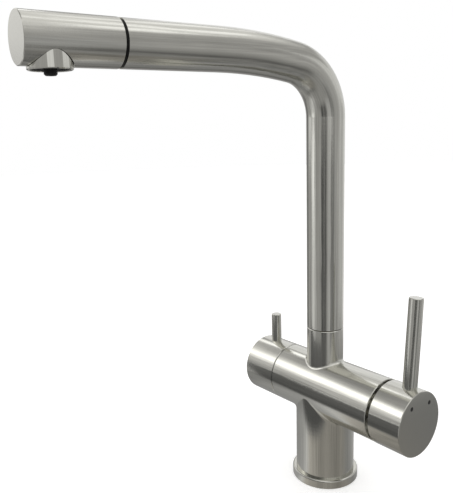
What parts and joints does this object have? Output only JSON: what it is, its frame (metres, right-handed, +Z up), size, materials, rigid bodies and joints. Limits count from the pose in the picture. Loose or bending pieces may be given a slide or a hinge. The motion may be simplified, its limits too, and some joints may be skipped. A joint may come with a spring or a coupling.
{
  "type": "kitchen mixer tap",
  "caption": "Kitchen mixer tap of brushed steel: column, cross barrel with mixer and filter levers, L-shaped swivel spout and pull-out head with aerator and filter nozzle.",
  "frame": {"origin": "centre of the base on the worktop", "axes": "+Z up, +X towards the mixer lever, spout towards -Y at the middle of its swing"},
  "size_m": [0.1552, 0.2436, 0.3401],
  "materials": {
    "brushed_steel": "fine turned brushing",
    "polished_steel": "polished",
    "black_plastic": "moulded",
    "grey_plastic": "moulded",
    "seal_rubber": "moulded",
    "brass": "turned",
    "copper_tube": "drawn",
    "ceramic": "lapped",
    "braided_hose": "braided nylon",
    "clear_tube": "extruded",
    "screw_steel": "machined",
    "black_mark": "filled mark"
  },
  "bodies": {
    "tap_body": {"mixer_body": "brushed_steel", "base_ring": "brushed_steel", "cartridge_cover": "black_plastic", "cartridge_base": "grey_plastic", "cartridge_housing": "grey_plastic", "base_gasket": "seal_rubber", "cartridge_seal": "seal_rubber", "filter_valve_seal": "seal_rubber", "inlet_block": "brass", "hose_tail_fitting": "brass", "cartridge_nut": "brass", "filter_valve_body": "brass", "mixed_return_tube": "copper_tube", "hot_feed_tube": "copper_tube", "filter_feed_tube": "copper_tube", "filter_return_tube": "copper_tube", "cold_feed_tube": "copper_tube", "cartridge_fixed_disc": "ceramic", "filter_fixed_disc": "ceramic", "column_hose": "braided_hose", "column_filter_tube": "clear_tube", "swivel_stop_screw": "screw_steel", "block_clip": "screw_steel"},
    "mixer_rotor": {"cartridge_rotor": "grey_plastic", "tilt_pin": "screw_steel"},
    "mixer_disc": {"cartridge_moving_disc": "ceramic", "disc_carrier": "grey_plastic"},
    "mixer_lever": {"mixer_spindle": "brass", "mixer_cap": "brushed_steel", "mixer_lever_pin": "brushed_steel", "mixer_grub_screw": "screw_steel", "hot_mark": "black_mark", "cold_mark": "black_mark"},
    "filter_lever": {"filter_moving_disc": "ceramic", "filter_spindle": "brass", "filter_cap": "brushed_steel", "filter_lever_pin": "brushed_steel", "filter_grub_screw": "screw_steel"},
    "spout": {"spout_tube": "brushed_steel", "spout_ferrule": "brass", "slide_ring_lower": "grey_plastic", "slide_ring_upper": "grey_plastic", "swivel_seal_lower": "seal_rubber", "swivel_seal_upper": "seal_rubber", "docking_collar": "black_plastic", "riser_hose": "braided_hose", "riser_filter_tube": "clear_tube"},
    "head": {"head_shell": "brushed_steel", "head_spigot": "black_plastic", "hose_coupling": "brass", "hose_crimp": "brass", "head_water_guide": "grey_plastic", "outlet_sleeve": "polished_steel", "aerator_insert": "grey_plastic", "aerator_seal": "seal_rubber", "filter_nozzle": "black_plastic", "head_hose": "braided_hose", "head_filter_tube": "clear_tube"}
  },
  "joints": [
    {"name": "spout_swivel", "type": "hinge", "parent": "tap_body", "child": "spout", "pos_m": [0, 0, 0.124], "axis": [0, 0, 1], "range_deg": [-66.45, 73.55]},
    {"name": "head_pull", "type": "slide", "parent": "spout", "child": "head", "axis": [-0.0619, -0.9981, 0], "range_m": [0, 0.1]},
    {"name": "mixer_temperature", "type": "hinge", "parent": "tap_body", "child": "mixer_rotor", "pos_m": [0.0483, 0, 0.0749], "axis": [1, 0, 0], "range_deg": [-46, 54]},
    {"name": "mixer_flow", "type": "hinge", "parent": "mixer_rotor", "child": "mixer_lever", "pos_m": [0.0483, 0, 0.0749], "axis": [0, 0.9976, -0.0698], "range_deg": [0, 20]},
    {"name": "disc_slide", "type": "slide", "parent": "mixer_rotor", "child": "mixer_disc", "axis": [0, 0.0698, 0.9976], "range_m": [0, 0.00284]},
    {"name": "filter_turn", "type": "hinge", "parent": "tap_body", "child": "filter_lever", "pos_m": [-0.0554, 0, 0.0749], "axis": [1, 0, 0], "range_deg": [0, 90]}
  ],
  "couplings": [
    {"joint": "disc_slide", "follows": "mixer_flow", "m_per_rad": 0.0081325}
  ]
}
